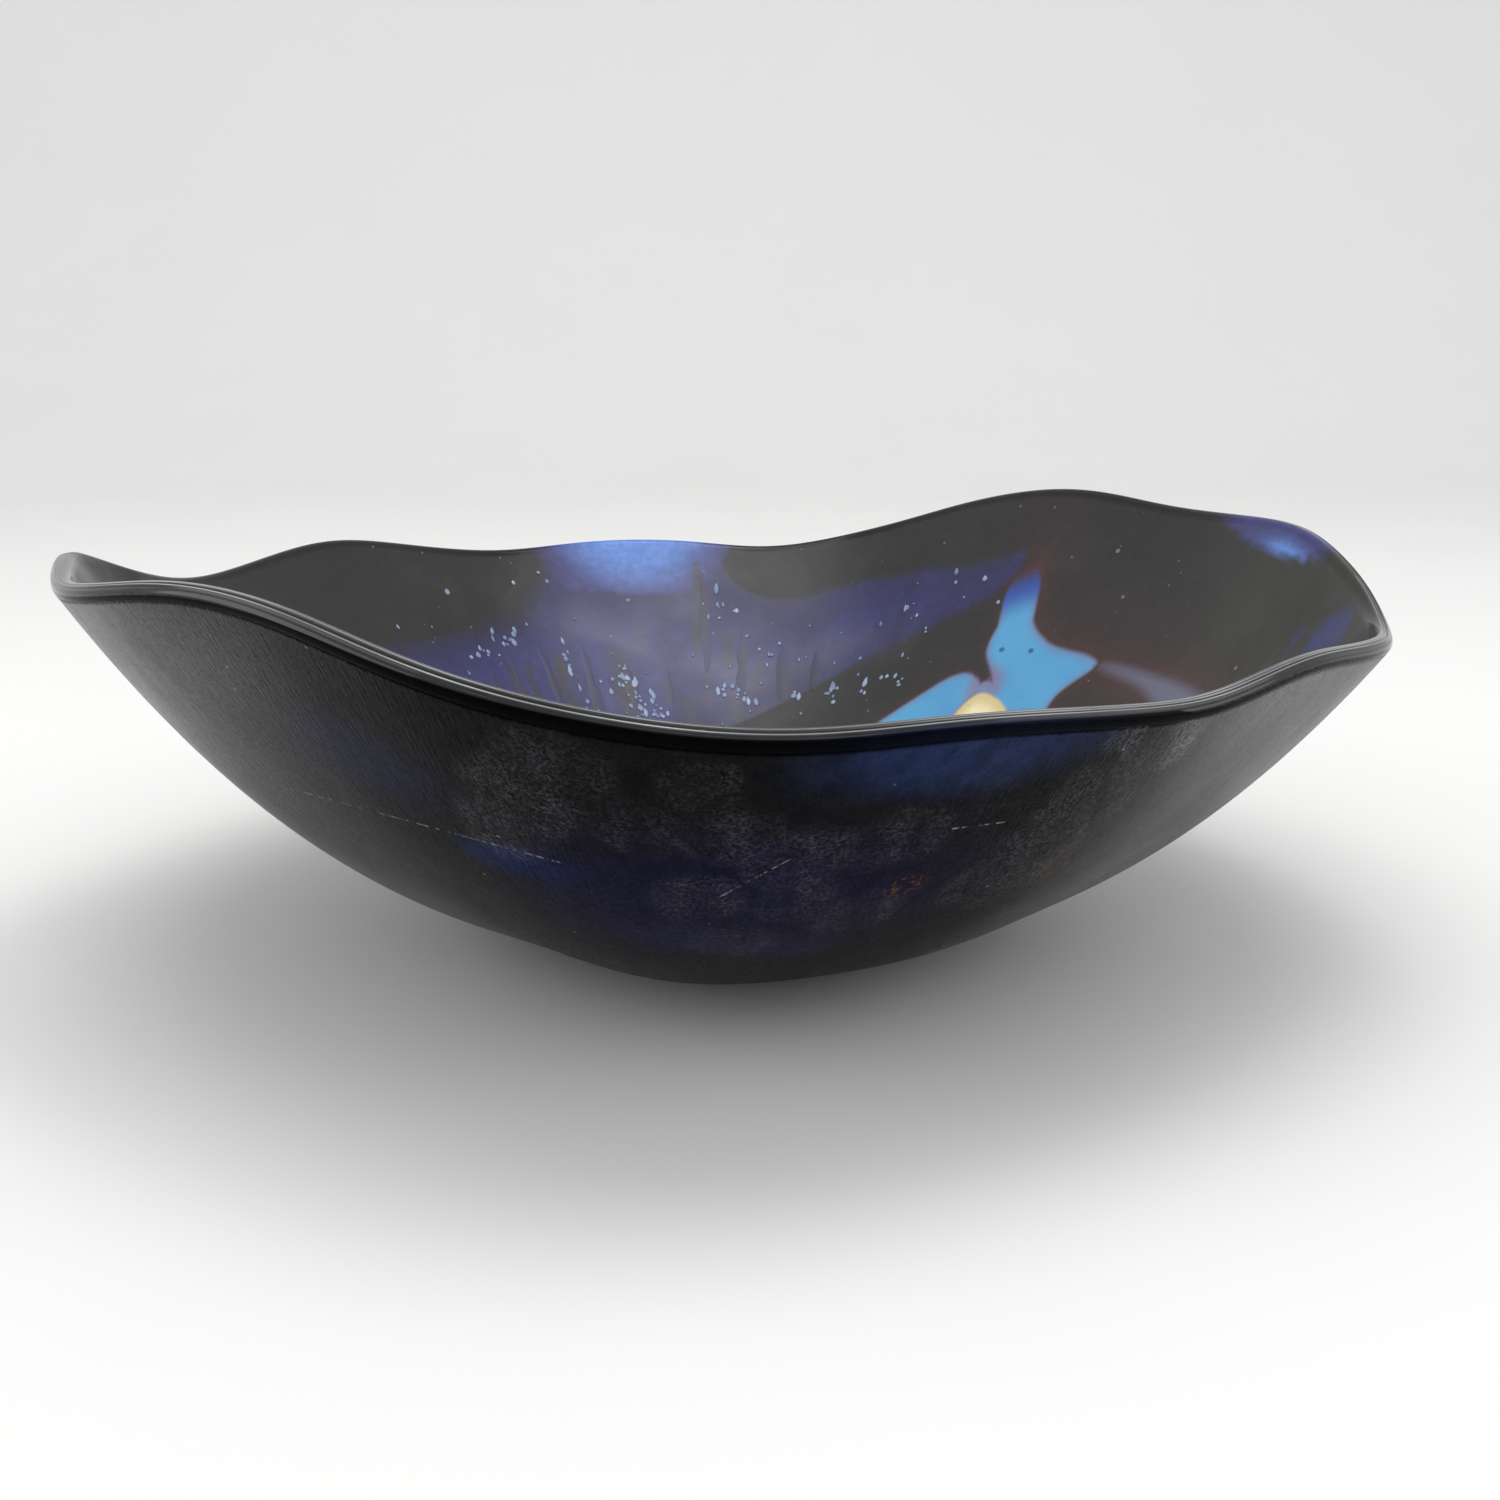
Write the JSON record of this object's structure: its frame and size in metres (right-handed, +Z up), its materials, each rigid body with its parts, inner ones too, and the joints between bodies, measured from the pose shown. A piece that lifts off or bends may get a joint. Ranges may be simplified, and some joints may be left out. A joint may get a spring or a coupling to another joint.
{
  "type": "art glass bowl",
  "caption": "Wide free-form bowl of fused and slumped art glass, dark outside, with a coloured mosaic inside and a wavy rounded rim.",
  "frame": {"origin": "centre of the ground foot's flat underside", "axes": "+Z up out of the bowl; -X towards the rim's drawn-out lip; -Y is the front"},
  "size_m": [0.3897, 0.4074, 0.1259],
  "materials": {
    "base_glass": "matte fire-slumped outer skin with fine draw streaks, glossy at the rim",
    "black_glass": "opaque black sheet glass, satin",
    "wine_glass": "very dark wine-brown sheet glass, satin",
    "cobalt_glass": "violet-blue sheet glass, satin, streaked",
    "sky_glass": "opal sky-blue sheet glass with soft darker edges",
    "rim_blue_glass": "light blue sheet glass thinning into cobalt",
    "yellow_glass": "pale yellow opal sheet glass",
    "lavender_glass": "grey-violet opal sheet glass",
    "violet_glass": "deep violet sheet glass",
    "frit_glass": "crushed light blue glass, fire polished",
    "stringer_glass": "olive-brown glass thread melted flat"
  },
  "bodies": {
    "root": {"base_sheet": "base_glass", "black_wedge": "black_glass", "cobalt_chip": "cobalt_glass", "cobalt_field": "cobalt_glass", "cobalt_front": "cobalt_glass", "dark_band": "wine_glass", "frit_grains": "frit_glass", "ground_back": "black_glass", "ground_corner": "black_glass", "ground_front": "black_glass", "ground_front_left": "black_glass", "ground_hub": "black_glass", "ground_left": "black_glass", "ground_right": "black_glass", "lavender_leaf": "lavender_glass", "lavender_ribbon": "lavender_glass", "rim_sky_back": "rim_blue_glass", "rim_sky_side": "rim_blue_glass", "sky_arm": "sky_glass", "sky_fin": "sky_glass", "sky_swallow": "sky_glass", "stringers": "stringer_glass", "violet_wedge": "violet_glass", "yellow_heart": "yellow_glass", "yellow_shard": "yellow_glass"}
  },
  "joints": []
}
